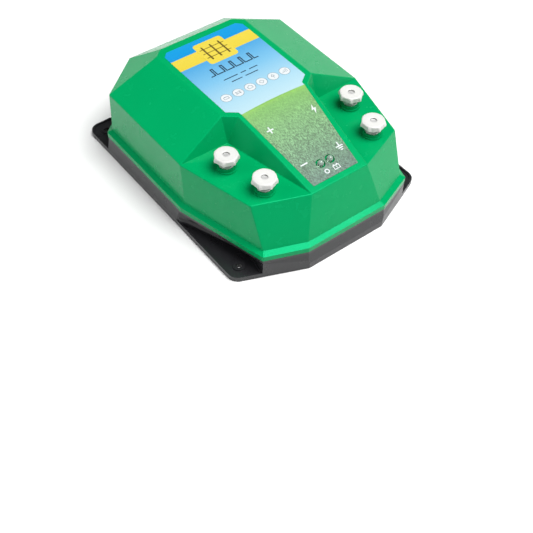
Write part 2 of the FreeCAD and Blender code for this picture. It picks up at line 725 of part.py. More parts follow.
def terminal_wires():
    way_z = top_z + block_hole_h
    into_block = (0, -12, 0)
    coil_y = coil_levels(pulse[3], pulse[4], 0.95)[1]
    routes = {
        "positive": ([(-39.5, -40, 42), (-42, -36, 30)], (way_x(0), block_y0 + 3, way_z), into_block),
        "negative": ([(-48, -52, 44), (-44, -45, 30), (-40, -34, 22)], (way_x(1), block_y0 + 3, way_z),
                     into_block),
        "fence": ([(35, -33, 52), (26, -23, 46), (16, -19, 40)], (11, pulse[1] + coil_y, 37), (0, 9, 0)),
        "earth": ([(33, -83, 47), (26, -89, 37), (18, -92.5, 31)], (11, pulse[1] - coil_y, 30), (0, -8, 0)),
    }
    for name, (middle, end, end_run) in routes.items():
        save(name + "_wire", terminal_wire(name, middle, end, end_run))


def inner_wires():
    way_z = top_z + block_hole_h
    rim_y = pulse[1] + coil_levels(pulse[3], pulse[4], 1)[1]
    rim_z = pulse[2] + pulse[3] / 6 + 0.8
    for k, side in ((3, "left"), (4, "right")):
        x, end_x = way_x(k), way_x(k) + 15.5
        points = [(x, block_y0 + 3, way_z), (x, block_y0 - 4, way_z)]
        points += [(end_x, rim_y + 6.5, rim_z), (end_x, rim_y, rim_z)]
        save("primary_wire_" + side, tube("primary_wire_" + side, points, wire_r))
    back = on_slope(Part.Vertex(-6, 0, -lamp_back - lamp_board[2]), 0, lamp_y).Point
    down = on_slope_normal() * -9
    points = [back, back + down, (-20, -78, 47), (-35, -73, 44), (-37, -58, 38), (-35, -43, 31)]
    points += [(-34, -30, 24), (way_x(2), block_y0 - 9, way_z), (way_x(2), block_y0 + 3, way_z)]
    save("lamp_cable", tube("lamp_cable", points, wire_r))


def save_group(name, shapes):
    save(name, Part.makeCompound(shapes))


if __name__ == "__main__":
    os.makedirs("parts", exist_ok=True)
    save("top_cover", top_cover())
    save("base_tray", base_tray())
    seal_z = flange_z + groove_h - seal_h
    save("case_seal", band(groove[0] + 0.05, groove[1] - 0.05, seal_z, flange_z + groove_h))
    save("label", label())
    case_screw = [screw(screw_head_r, screw_head_h, screw_shank_r, x, y, screw_seat_z, screw_top_z)
                  for x, y in both_sides(case_screw_at)]
    save_group("case_screws", case_screw)
    for name, x, y in terminals:
        save("knob_" + name, knob(x, y))
        save("knob_insert_" + name, knob_insert(x, y))
        save("clamp_washer_" + name, clamp_washer(x, y))
        save("stud_" + name, stud(x, y))
    save_group("terminal_nuts", [terminal_nut(x, y) for name, x, y in terminals])
    save_group("terminal_seals", [terminal_seal(x, y) for name, x, y in terminals])
    save_group("ring_lugs", [ring_lug(x, y, lug_turn[name]) for name, x, y in terminals])
    for side, s in (("left", -1), ("right", 1)):
        save("status_lamp_" + side, status_lamp(s * lamp_x))
    save("lamp_board", lamp_circuit())
    save_group("lamp_board_screws", [lamp_board_screw(s * lamp_post_x) for s in (1, -1)])

    save("pulse_core", core(*pulse))
    save("pulse_bobbin", bobbin(*pulse))
    save("pulse_primary", winding(*pulse, 0.14, 0.4))
    save("pulse_secondary", winding(*pulse, 0.42, 0.95))
    save("pulse_strap", core_strap())
    strap_z = pulse[2] + strap_t
    save_group("pulse_strap_screws", [screw(3.5, 2.4, 1.9, x, y, strap_z, 1.5) for x, y in strap_screw_at])
    save("charger_core", core(*charger))
    save("charger_bobbin", bobbin(*charger))
    save("charger_winding", winding(*charger, 0.14, 0.9))

    save("circuit_board", circuit_board())
    board_screw = [screw(3.0, 2.0, 1.45, x, y, top_z, 5.5) for x, y in both_sides(board_screw_at)]
    save_group("board_screws", board_screw)
    for k in range(storage_capacitors):
        save(f"storage_capacitor_{k + 1}", storage_capacitor(k))
    save("input_capacitor", input_capacitor())
    save("heat_sink", heat_sink())
    save("charging_transistor", power_device(device_y[0]))
    save("discharge_thyristor", power_device(device_y[1]))
    save_group("device_screws", [device_screw(y) for y in device_y])
    save("fuse", glass_fuse())
    save_group("fuse_clips", [fuse_clip(fuse_x + s * 7.5) for s in (1, -1)])
    save("control_chip", control_chip())
    save("wire_block", wire_block())
    terminal_wires()
    inner_wires()
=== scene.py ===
import json
import math

import bmesh
import bpy
from mathutils import Matrix, Vector


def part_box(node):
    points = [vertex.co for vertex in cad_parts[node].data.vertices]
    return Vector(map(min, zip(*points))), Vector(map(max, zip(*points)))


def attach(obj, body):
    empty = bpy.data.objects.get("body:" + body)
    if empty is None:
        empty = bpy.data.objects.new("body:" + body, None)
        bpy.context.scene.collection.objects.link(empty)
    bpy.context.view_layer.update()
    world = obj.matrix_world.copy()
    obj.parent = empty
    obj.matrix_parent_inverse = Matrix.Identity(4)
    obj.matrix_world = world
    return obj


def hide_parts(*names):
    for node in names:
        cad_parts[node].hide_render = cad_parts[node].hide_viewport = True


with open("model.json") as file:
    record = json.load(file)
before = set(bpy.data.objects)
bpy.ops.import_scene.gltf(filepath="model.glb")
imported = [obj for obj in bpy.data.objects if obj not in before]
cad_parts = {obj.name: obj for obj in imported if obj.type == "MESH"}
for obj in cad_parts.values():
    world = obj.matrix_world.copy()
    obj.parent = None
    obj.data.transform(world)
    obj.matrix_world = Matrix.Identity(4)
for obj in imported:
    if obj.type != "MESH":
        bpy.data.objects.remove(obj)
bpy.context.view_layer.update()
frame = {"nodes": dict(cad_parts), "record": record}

mm = 0.001
housing = {"roofZ": 81.0 * mm, "foldY": -20.7 * mm, "slope": math.radians(14.44), "labelProud": 0.1 * mm}
root = "energizer"
terminals = ("positive", "negative", "fence", "earth")


# material helpers
def group(name, inputs, outputs):
    tree = bpy.data.node_groups.new(name, "ShaderNodeTree")
    for label, kind, value in inputs:
        socket = tree.interface.new_socket(label, in_out="INPUT", socket_type=kind)
        socket.default_value = value
    for label, kind in outputs:
        tree.interface.new_socket(label, in_out="OUTPUT", socket_type=kind)
    return tree, tree.nodes.new("NodeGroupInput"), tree.nodes.new("NodeGroupOutput")


noiseRange = (0.3, 0.7)  # where nearly all of a noise's values lie


def noiseNode(tree, scale, detail=3.0, rough=0.5):
    node = tree.nodes.new("ShaderNodeTexNoise")
    node.inputs["Scale"].default_value = scale
    node.inputs["Detail"].default_value = detail
    node.inputs["Roughness"].default_value = rough
    return node


def mapNode(tree, low, high, toLow, toHigh):
    node = tree.nodes.new("ShaderNodeMapRange")
    for label, value in (("From Min", low), ("From Max", high), ("To Min", toLow), ("To Max", toHigh)):
        node.inputs[label].default_value = value
    return node


def spreadNode(tree, noise, toLow, toHigh):
    node = mapNode(tree, *noiseRange, toLow, toHigh)
    tree.links.new(noise.outputs["Fac"], node.inputs["Value"])
    return node


def mathNode(tree, operation, *values):
    node = tree.nodes.new("ShaderNodeMath")
    node.operation = operation
    for k, value in enumerate(values):
        if isinstance(value, (int, float)):
            node.inputs[k].default_value = value
        else:
            tree.links.new(value, node.inputs[k])
    return node


def mixColour(tree, factor, a, b, blend="MIX"):
    node = tree.nodes.new("ShaderNodeMix")
    node.data_type = "RGBA"
    node.blend_type = blend
    for socket, value in ((node.inputs[0], factor), (node.inputs[6], a), (node.inputs[7], b)):
        if isinstance(value, bpy.types.NodeSocket):
            tree.links.new(value, socket)
        else:
            socket.default_value = value
    return node.outputs[2]


mouldNoise = {"cloud": (22.0, 4.0, 0.55), "smear": (95.0, 3.0, 0.6), "grain": (2600.0, 2.0, 0.6)}


def makeMouldGroup():  # moulded plastic: faint cloudiness, fine spark-eroded grain and a few handling marks
    tree, given, out = group("mouldedSurface", (
        ("Colour", "NodeSocketColor", (0.5, 0.5, 0.5, 1)), ("Cloud", "NodeSocketFloat", 0.06),
        ("Rough", "NodeSocketFloat", 0.3), ("Rough Swing", "NodeSocketFloat", 0.06),
        ("Grain Size", "NodeSocketFloat", mouldNoise["grain"][0])),
        (("Colour", "NodeSocketColor"), ("Roughness", "NodeSocketFloat"), ("Height", "NodeSocketFloat")))
    place = tree.nodes.new("ShaderNodeTexCoord")
    cloud, smear, grain = (noiseNode(tree, *mouldNoise[name]) for name in ("cloud", "smear", "grain"))
    for node in (cloud, smear, grain):
        tree.links.new(place.outputs["Object"], node.inputs["Vector"])
    tree.links.new(given.outputs["Grain Size"], grain.inputs["Scale"])
    span = spreadNode(tree, cloud, -1.0, 1.0)
    shade = mathNode(tree, "MULTIPLY", span.outputs[0], given.outputs["Cloud"])
    bright = tree.nodes.new("ShaderNodeHueSaturation")
    lift = mathNode(tree, "ADD", shade.outputs[0], 1.0)
    tree.links.new(lift.outputs[0], bright.inputs["Value"])
    tree.links.new(given.outputs["Colour"], bright.inputs["Color"])
    tree.links.new(bright.outputs[0], out.inputs["Colour"])
    smearSpan = spreadNode(tree, smear, -1.0, 1.0)
    swing = mathNode(tree, "MULTIPLY", smearSpan.outputs[0], given.outputs["Rough Swing"])
    rough = mathNode(tree, "ADD", swing.outputs[0], given.outputs["Rough"])
    tree.links.new(rough.outputs[0], out.inputs["Roughness"])
    tree.links.new(grain.outputs["Fac"], out.inputs["Height"])
    return tree


metalNoise = {"bloom": (260.0, 3.0), "lines": (1500.0, 2.0), "stretch": (1.0, 1.0, 6.0),
              "tone": (0.82, 1.08), "swing": (-0.06, 0.08)}


def makeMetalGroup():  # turned or drawn metal: fine lines along one axis and a dull bloom
    tree, given, out = group("metalSurface", (
        ("Colour", "NodeSocketColor", (0.6, 0.6, 0.6, 1)), ("Rough", "NodeSocketFloat", 0.3),
        ("Line Size", "NodeSocketFloat", metalNoise["lines"][0])),
        (("Colour", "NodeSocketColor"), ("Roughness", "NodeSocketFloat"), ("Height", "NodeSocketFloat")))
    place = tree.nodes.new("ShaderNodeTexCoord")
    stretch = tree.nodes.new("ShaderNodeMapping")
    stretch.inputs["Scale"].default_value = metalNoise["stretch"]
    bloom, lines = (noiseNode(tree, *metalNoise[name]) for name in ("bloom", "lines"))
    tree.links.new(place.outputs["Object"], bloom.inputs["Vector"])
    tree.links.new(place.outputs["Object"], stretch.inputs["Vector"])
    tree.links.new(stretch.outputs[0], lines.inputs["Vector"])
    tree.links.new(given.outputs["Line Size"], lines.inputs["Scale"])
    tone = spreadNode(tree, bloom, *metalNoise["tone"])
    bright = tree.nodes.new("ShaderNodeHueSaturation")
    tree.links.new(tone.outputs[0], bright.inputs["Value"])
    tree.links.new(given.outputs["Colour"], bright.inputs["Color"])
    tree.links.new(bright.outputs[0], out.inputs["Colour"])
    swing = spreadNode(tree, lines, *metalNoise["swing"])
    rough = mathNode(tree, "ADD", swing.outputs[0], given.outputs["Rough"])
    tree.links.new(rough.outputs[0], out.inputs["Roughness"])
    tree.links.new(lines.outputs["Fac"], out.inputs["Height"])
    return tree


mouldGroup = makeMouldGroup()
metalGroup = makeMetalGroup()


def newMaterial(name):
    material = bpy.data.materials.new(name)
    material.use_nodes = True
    tree = material.node_tree
    return material, tree, tree.nodes["Principled BSDF"]


def addBump(tree, shader, height, strength, depth=0.02 * mm):
    bump = tree.nodes.new("ShaderNodeBump")
    bump.inputs["Strength"].default_value = strength
    bump.inputs["Distance"].default_value = depth
    tree.links.new(height, bump.inputs["Height"])
    tree.links.new(bump.outputs[0], shader.inputs["Normal"])


def placeGroup(tree, shader, shared, values):
    node = tree.nodes.new("ShaderNodeGroup")
    node.node_tree = shared
    for label, value in values.items():
        node.inputs[label].default_value = value
    tree.links.new(node.outputs["Colour"], shader.inputs["Base Color"])
    tree.links.new(node.outputs["Roughness"], shader.inputs["Roughness"])
    return node


def plastic(name, colour, rough=0.35, cloud=0.05, grain=2600.0, bump=0.12, specular=0.5, swing=0.05,
            tint=(1.0, 1.0, 1.0)):
    material, tree, shader = newMaterial(name)
    node = placeGroup(tree, shader, mouldGroup, {
        "Colour": (*colour, 1), "Cloud": cloud, "Rough": rough, "Rough Swing": swing, "Grain Size": grain})
    shader.inputs["Specular IOR Level"].default_value = specular
    shader.inputs["Specular Tint"].default_value = (*tint, 1)
    addBump(tree, shader, node.outputs["Height"], bump)
    return material


def metal(name, colour, rough=0.3, lines=1500.0, bump=0.15, metallic=1.0):
    material, tree, shader = newMaterial(name)
    node = placeGroup(tree, shader, metalGroup, {"Colour": (*colour, 1), "Rough": rough, "Line Size": lines})
    shader.inputs["Metallic"].default_value = metallic
    addBump(tree, shader, node.outputs["Height"], bump)
    return material


# materials of this object
coverLook = {"colour": (0.0, 0.232, 0.072), "rough": 0.24, "cloud": 0.03, "grain": 1900.0, "bump": 0.05,
             "specular": 0.30, "tint": (0.05, 1.0, 0.55)}
trayLook = {"colour": (0.014, 0.014, 0.016), "rough": 0.30, "cloud": 0.10, "grain": 2300.0, "bump": 0.12}
knobLook = {"colour": (0.47, 0.47, 0.455), "rough": 0.32, "cloud": 0.02, "grain": 3000.0, "bump": 0.04}
sealLook = {"colour": (0.02, 0.02, 0.02), "rough": 0.7, "cloud": 0.1}
zincLook = {"colour": (0.74, 0.74, 0.73), "rough": 0.42, "metallic": 0.75}
tinLook = {"colour": (0.70, 0.69, 0.66), "rough": 0.32}

coverGreen = plastic("coverGreen", **coverLook)
trayBlack = plastic("trayBlack", **trayLook)
knobWhite = plastic("knobWhite", **knobLook)
sealRubber = plastic("sealRubber", **sealLook)
zincSteel = metal("zincSteel", **zincLook)
tinnedCopper = metal("tinnedCopper", **tinLook)

labelLook = {
    "bands": (  # y on the label in mm from the nose to the back edge, colour there
        (-96.0, (0.060, 0.112, 0.085)), (-82.0, (0.068, 0.130, 0.082)), (-62.0, (0.088, 0.180, 0.088)),
        (-42.0, (0.104, 0.225, 0.086)), (-24.0, (0.112, 0.260, 0.064)), (-19.4, (0.150, 0.310, 0.056)),
        (-19.2, (0.300, 0.430, 0.480)), (-5.0, (0.250, 0.400, 0.475)), (22.0, (0.120, 0.310, 0.460)),
        (46.9, (0.045, 0.225, 0.420)), (47.1, (0.470, 0.370, 0.030)), (61.1, (0.480, 0.385, 0.040)),
        (61.3, (0.000, 0.180, 0.420)), (74.0, (0.000, 0.200, 0.430))),
    "sag": 1.4, "sagFrom": -18 * mm, "sagTo": 10 * mm,  # how the horizon falls away to both sides
    "bladeStretch": (1.0, 0.55, 1.0), "bladeLean": 0.25,
    "blades": (950.0, 4.0, 0.75), "bladeRange": (0.36, 0.64, 0.25, 1.85),
    "tufts": (240.0, 3.0, 0.6), "tuftTone": (0.8, 1.2),
    "depth": (-19 * mm, -60 * mm, 0.12, 0.85),  # the grass gets coarser from the first y to the second
    "horizon": (-19.5 * mm, -19.2 * mm, 1.0, 0.0),
    "film": (600.0, 2.0), "filmRough": (0.34, 0.44), "filmBump": 0.05}


def labelPrint():
    material, tree, shader = newMaterial("labelPrint")
    place = tree.nodes.new("ShaderNodeTexCoord")
    apart = tree.nodes.new("ShaderNodeSeparateXYZ")
    tree.links.new(place.outputs["Object"], apart.inputs[0])
    bow = mathNode(tree, "MULTIPLY", apart.outputs["X"], apart.outputs["X"])
    sag = mathNode(tree, "MULTIPLY", bow.outputs[0], labelLook["sag"])
    near = mapNode(tree, labelLook["sagFrom"], labelLook["sagTo"], 1.0, 0.0)
    tree.links.new(apart.outputs["Y"], near.inputs["Value"])
    bend = mathNode(tree, "MULTIPLY", sag.outputs[0], near.outputs[0])
    height = mathNode(tree, "ADD", apart.outputs["Y"], bend.outputs[0])
    bands = labelLook["bands"]
    low, high = bands[0][0] * mm, bands[-1][0] * mm
    along = mapNode(tree, low, high, 0.0, 1.0)
    tree.links.new(height.outputs[0], along.inputs["Value"])
    ramp = tree.nodes.new("ShaderNodeValToRGB")
    tree.links.new(along.outputs[0], ramp.inputs[0])
    ramp.color_ramp.elements.remove(ramp.color_ramp.elements[1])
    for k, (y, colour) in enumerate(bands):
        at = (y * mm - low) / (high - low)
        stop = ramp.color_ramp.elements[0] if k == 0 else ramp.color_ramp.elements.new(at)
        stop.position = at
        stop.color = (*colour, 1)
    # grass: long blades nearer the nose, soft meadow towards the horizon
    blades = tree.nodes.new("ShaderNodeMapping")
    blades.inputs["Scale"].default_value = labelLook["bladeStretch"]
    blades.inputs["Rotation"].default_value = (0.0, 0.0, labelLook["bladeLean"])
    tree.links.new(place.outputs["Object"], blades.inputs["Vector"])
    fine, tufts = (noiseNode(tree, *labelLook[name]) for name in ("blades", "tufts"))
    for node in (fine, tufts):
        tree.links.new(blades.outputs[0], node.inputs["Vector"])
    speck = mapNode(tree, *labelLook["bladeRange"])
    tree.links.new(fine.outputs["Fac"], speck.inputs["Value"])
    patch = spreadNode(tree, tufts, *labelLook["tuftTone"])
    texture = mathNode(tree, "MULTIPLY", speck.outputs[0], patch.outputs[0])
    turf = tree.nodes.new("ShaderNodeCombineColor")
    for k in range(3):
        tree.links.new(texture.outputs[0], turf.inputs[k])
    depth = mapNode(tree, *labelLook["depth"])
    tree.links.new(apart.outputs["Y"], depth.inputs["Value"])
    onGrass = mapNode(tree, *labelLook["horizon"])
    tree.links.new(height.outputs[0], onGrass.inputs["Value"])
    amount = mathNode(tree, "MULTIPLY", depth.outputs[0], onGrass.outputs[0])
    printed = mixColour(tree, amount.outputs[0], ramp.outputs[0], turf.outputs[0], "MULTIPLY")
    tree.links.new(printed, shader.inputs["Base Color"])
    film = noiseNode(tree, *labelLook["film"])
    tree.links.new(place.outputs["Object"], film.inputs["Vector"])
    sheen = spreadNode(tree, film, *labelLook["filmRough"])
    tree.links.new(sheen.outputs[0], shader.inputs["Roughness"])
    addBump(tree, shader, film.outputs["Fac"], labelLook["filmBump"])
    return material


# the green tint in the lens colour is painted reflection of the green well the lamp sits in; the resin
# itself is clear
lensLook = {"colour": (0.50, 0.66, 0.56), "transmission": 0.65, "ior": 1.5, "haze": (700.0, 2.0),
            "rough": (0.02, 0.09)}


def clearResin():
    material, tree, shader = newMaterial("clearResin")
    shader.inputs["Base Color"].default_value = (*lensLook["colour"], 1)
    shader.inputs["Transmission Weight"].default_value = lensLook["transmission"]
    shader.inputs["IOR"].default_value = lensLook["ior"]
    place = tree.nodes.new("ShaderNodeTexCoord")
    haze = noiseNode(tree, *lensLook["haze"])
    tree.links.new(place.outputs["Object"], haze.inputs["Vector"])
    soft = spreadNode(tree, haze, *lensLook["rough"])
    tree.links.new(soft.outputs[0], shader.inputs["Roughness"])
    return material


paleInk = {"rough": 0.40, "cloud": 0.02, "grain": 900.0, "bump": 0.03}
darkInk = {"rough": 0.42, "cloud": 0.05, "grain": 900.0, "bump": 0.03}

labelPrinted = labelPrint()
resinClear = clearResin()
inkWhite = plastic("inkWhite", (0.450, 0.480, 0.490), **paleInk)
inkYellow = plastic("inkYellow", (0.480, 0.385, 0.040), **paleInk)
inkNavy = plastic("inkNavy", (0.010, 0.032, 0.055), **darkInk)
inkBrown = plastic("inkBrown", (0.085, 0.060, 0.006), **darkInk)
inkGrey = plastic("inkGrey", (0.090, 0.120, 0.150), **darkInk)


# mesh helpers
weldGap = 1e-7
inkThick = 0.04 * mm


def finishPiece(name, bm, material, body=root, replaced=(), smoothAngle=35.0):
    mesh = bpy.data.meshes.new(name)
    bmesh.ops.remove_doubles(bm, verts=bm.verts, dist=weldGap)
    bmesh.ops.recalc_face_normals(bm, faces=bm.faces)
    bm.to_mesh(mesh)
    bm.free()
    piece = bpy.data.objects.new(name, mesh)
    bpy.context.scene.collection.objects.link(piece)
    mesh.materials.append(material)
    mesh.shade_smooth()
    mesh.set_sharp_from_angle(angle=math.radians(smoothAngle))
    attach(piece, body)
    if replaced:
        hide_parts(*replaced)
    return piece


def centreOf(node):
    low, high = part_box(node)
    return (low[0] + high[0]) / 2, (low[1] + high[1]) / 2, low[2], high[2]


def lathe(bm, profile, centre=(0, 0), steps=64, closed=False):  # turned from (radius, z) points
    rim = [bm.verts.new((centre[0] + r, centre[1], z)) for r, z in profile]
    edges = [bm.edges.new(pair) for pair in zip(rim, rim[1:])]
    if closed:
        edges.append(bm.edges.new((rim[-1], rim[0])))
    bmesh.ops.spin(bm, geom=rim + edges, cent=(*centre, 0), axis=(0, 0, 1), angle=2 * math.pi, steps=steps,
                   use_merge=True, use_duplicate=False)


def panelMatrix(x, y):  # puts a drawing made about the origin on the label, on its flat or its sloping part
    proud = Matrix.Translation((0, 0, housing["labelProud"]))
    if y > housing["foldY"]:
        return Matrix.Translation((x, y, housing["roofZ"])) @ proud
    fall = (y - housing["foldY"]) * math.tan(housing["slope"])
    turn = Matrix.Rotation(housing["slope"], 4, "X")
    return Matrix.Translation((x, y, housing["roofZ"] + fall)) @ turn @ proud


def flatPolygon(bm, points, place, thick=inkThick):
    verts = [bm.verts.new(place @ Vector((x, y, 0))) for x, y in points]
    face = bm.faces.new(verts)
    up = place.to_3x3() @ Vector((0, 0, thick))
    raised = bmesh.ops.extrude_face_region(bm, geom=[face])
    bmesh.ops.translate(bm, vec=up, verts=[v for v in raised["geom"] if isinstance(v, bmesh.types.BMVert)])


def arcPoints(radius, start, stop, steps, centre=(0, 0)):
    turns = [start + (stop - start) * k / steps for k in range(steps + 1)]
    return [(centre[0] + radius * math.cos(t), centre[1] + radius * math.sin(t)) for t in turns]


def ringDrawing(bm, place, outer, inner, centre=(0, 0), steps=40):  # printed ring, four curved pieces
    for k in range(4):
        a, b = k * math.pi / 2, (k + 1) * math.pi / 2
        points = arcPoints(outer, a, b, steps // 4, centre) + arcPoints(inner, b, a, steps // 4, centre)
        flatPolygon(bm, points, place)


def barDrawing(bm, place, x0, y0, x1, y1, wide):  # printed stroke between two points
    run = Vector((x1 - x0, y1 - y0))
    side = Vector((-run.y, run.x)).normalized() * wide / 2
    corners = [(x0 + side.x, y0 + side.y), (x0 - side.x, y0 - side.y),
               (x1 - side.x, y1 - side.y), (x1 + side.x, y1 + side.y)]
    flatPolygon(bm, corners, place)


def roundedBox(wide, high, radius, centre=(0, 0)):
    points = []
    for k, (sx, sy) in enumerate(((1, 1), (-1, 1), (-1, -1), (1, -1))):
        corner = (centre[0] + sx * (wide / 2 - radius), centre[1] + sy * (high / 2 - radius))
        points += arcPoints(radius, k * math.pi / 2, (k + 1) * math.pi / 2, 6, corner)
    return points


# camera, floor and light
cameraSet = {"target": (-80.5 * mm, -118.4 * mm, 36.0 * mm), "azimuth": -38.73, "elevation": 49.46,
             "distance": 669.5 * mm, "roll": 1.68, "lens": 64.57, "sensor": 36.0, "near": 0.01, "far": 20}


def makeCamera():
    data = bpy.data.cameras.new("camera")
    data.lens = cameraSet["lens"]
    data.sensor_width = cameraSet["sensor"]
    data.clip_start = cameraSet["near"]
    data.clip_end = cameraSet["far"]
    camera = bpy.data.objects.new("camera", data)
    bpy.context.scene.collection.objects.link(camera)
    a, e = math.radians(cameraSet["azimuth"]), math.radians(cameraSet["elevation"])
    back = Vector((math.sin(a) * math.cos(e), -math.cos(a) * math.cos(e), math.sin(e)))
    aim = (-back).to_track_quat("-Z", "Y").to_matrix().to_4x4()
    roll = Matrix.Rotation(math.radians(cameraSet["roll"]), 4, "Z")
    stand = Vector(cameraSet["target"]) + back * cameraSet["distance"]
    camera.matrix_world = Matrix.Translation(stand) @ aim @ roll
    bpy.context.scene.camera = camera


floorLook = {"colour": (0.68, 0.68, 0.68), "rough": 0.6, "cloud": 0.005, "grain": 300.0, "bump": 0.0,
             "specular": 0.2}
lightSet = {"floorHalf": 3.0, "floorDrop": 0.02 * mm,
            "sky": ((0.0, 1.1), (0.18, 0.95), (0.36, 0.20), (0.55, 0.03), (1.0, 0.03)),  # height, glow
            "lamps": (("keyLight", (0.32, -0.50, 1.40), 1.2, 46.5, True),  # place, size, power, mirrored
                      ("fillLight", (-1.00, 0.62, 0.80), 1.2, 10.5, False))}


def makeWorld():
    world = bpy.data.worlds.new("studio")
    world.use_nodes = True
    tree = world.node_tree
    place = tree.nodes.new("ShaderNodeTexCoord")
    apart = tree.nodes.new("ShaderNodeSeparateXYZ")
    ramp = tree.nodes.new("ShaderNodeValToRGB")
    tree.links.new(place.outputs["Generated"], apart.inputs[0])
    tree.links.new(apart.outputs["Z"], ramp.inputs[0])
    ramp.color_ramp.elements.remove(ramp.color_ramp.elements[1])
    for k, (at, glow) in enumerate(lightSet["sky"]):
        stop = ramp.color_ramp.elements[0] if k == 0 else ramp.color_ramp.elements.new(at)
        stop.position = at
        stop.color = (glow, glow, glow, 1)
    tree.links.new(ramp.outputs[0], tree.nodes["Background"].inputs["Color"])
    tree.nodes["Background"].inputs["Strength"].default_value = 1.0
    bpy.context.scene.world = world


def makeStage():
    bm = bmesh.new()
    bmesh.ops.create_grid(bm, x_segments=1, y_segments=1, size=lightSet["floorHalf"])
    bmesh.ops.translate(bm, vec=(0, 0, -lightSet["floorDrop"]), verts=bm.verts)
    mesh = bpy.data.meshes.new("floor")
    bm.to_mesh(mesh)
    bm.free()
    floor = bpy.data.objects.new("floor", mesh)
    bpy.context.scene.collection.objects.link(floor)
    mesh.materials.append(plastic("floorPale", **floorLook))
    for name, at, size, power, mirrored in lightSet["lamps"]:
        data = bpy.data.lights.new(name, "AREA")
        data.shape = "DISK"
        data.size = size
        data.energy = power
        lamp = bpy.data.objects.new(name, data)
        bpy.context.scene.collection.objects.link(lamp)
        lamp.visible_glossy = mirrored
        lamp.matrix_world = Matrix.Translation(at) @ Vector(at).to_track_quat("Z", "Y").to_matrix().to_4x4()
    bpy.context.scene.view_settings.view_transform = "Standard"


makeCamera()
makeWorld()
makeStage()
print("stage ready")


# star knobs
knobShape = {
    "lobes": 7, "steps": 22, "scallop": 1.15 * mm, "sharpness": 8, "collar": 6.0 * mm, "edge": 0.2 * mm,
    "flare": 0.4 * mm, "high": 4.6 * mm, "insert": 4.3 * mm, "eye": 3.1 * mm,
    "rings": (  # radius of the lobes, share of the scallop, height above the underside of the head, in mm
        (8.80, 0.60, 0.00), (9.65, 1.00, 0.08), (10.00, 1.00, 0.40), (9.98, 1.00, 1.20), (9.88, 0.92, 2.20),
        (9.62, 0.66, 3.00), (9.28, 0.36, 3.62), (8.90, 0.13, 4.08), (8.45, 0.02, 4.40), (8.00, 0.00, 4.54),
        (7.60, 0.00, 4.60), (7.42, 0.00, 4.60), (7.34, 0.00, 4.48), (7.18, 0.00, 4.48), (7.10, 0.00, 4.60),
        (5.40, 0.00, 4.60), (3.30, 0.00, 4.60), (2.85, 0.00, 4.52), (2.62, 0.00, 4.30), (2.58, 0.00, 3.90),
        (3.10, 0.00, 3.80)),
    "turned": {"positive": 0.30, "negative": 0.12, "fence": 0.42, "earth": 0.05}}


def starKnob(terminal):
    node = "knob_" + terminal
    bottom, top = centreOf(node)[2:]
    rodX, rodY = centreOf("stud_" + terminal)[:2]
    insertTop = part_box("knob_insert_" + terminal)[1][2]
    lobes, collar, edge = knobShape["lobes"], knobShape["collar"], knobShape["edge"]
    head = top - knobShape["high"]
    rings = [(collar - edge, 0, bottom), (collar, 0, bottom + edge), (collar, 0, head - edge),
             (collar + knobShape["flare"], 0, head)]
    rings += [(r * mm, share, head + z * mm) for r, share, z in knobShape["rings"]]
    rings += [(knobShape["eye"], 0, insertTop), (knobShape["insert"], 0, insertTop),
              (knobShape["insert"], 0, bottom)]
    bm = bmesh.new()
    bmesh.ops.create_circle(bm, segments=lobes * knobShape["steps"], radius=1.0)
    edges = list(bm.edges)
    first = edges

    def shapeRing(verts, radius, share, z):
        for vert in verts:
            turn = math.atan2(vert.co.y, vert.co.x)
            hollow = 1 - abs(math.cos(lobes * turn / 2)) ** knobShape["sharpness"]
            reach = radius - knobShape["scallop"] * share * hollow
            vert.co = Vector((reach * math.cos(turn), reach * math.sin(turn), z))

    shapeRing(bm.verts, *rings[0])
    for ring in rings[1:]:
        grown = bmesh.ops.extrude_edge_only(bm, edges=edges)["geom"]
        edges = [e for e in grown if isinstance(e, bmesh.types.BMEdge)]
        shapeRing([v for v in grown if isinstance(v, bmesh.types.BMVert)], *ring)
    bmesh.ops.bridge_loops(bm, edges=first + edges)
    turned = Matrix.Rotation(knobShape["turned"][terminal], 3, "Z")
    bmesh.ops.rotate(bm, cent=(0, 0, 0), matrix=turned, verts=bm.verts)
    bmesh.ops.translate(bm, vec=(rodX, rodY, 0), verts=bm.verts)
    finishPiece("starKnob_" + terminal, bm, knobWhite, node, [node], 40)


for terminal in terminals:
    starKnob(terminal)
print("knobs ready")


# studs with a rolled thread and a hex head, and washers
threadShape = {"pitch": 1.0 * mm, "crest": 2.97 * mm, "root": 2.40 * mm, "steps": 28, "chamfer": 0.6 * mm,
               "rise": 0.18, "crestFrom": 0.5, "crestTo": 0.62}  # shares of the pitch
headShape = {"across": 10.0 * mm, "edge": 0.35 * mm, "lugThick": 0.8 * mm, "lap": 0.5 * mm}
washerShape = {"hole": 3.2 * mm, "outer": 5.6 * mm, "chamfer": 0.1 * mm, "footEdge": 0.2 * mm,
               "topEdge": 0.25 * mm}


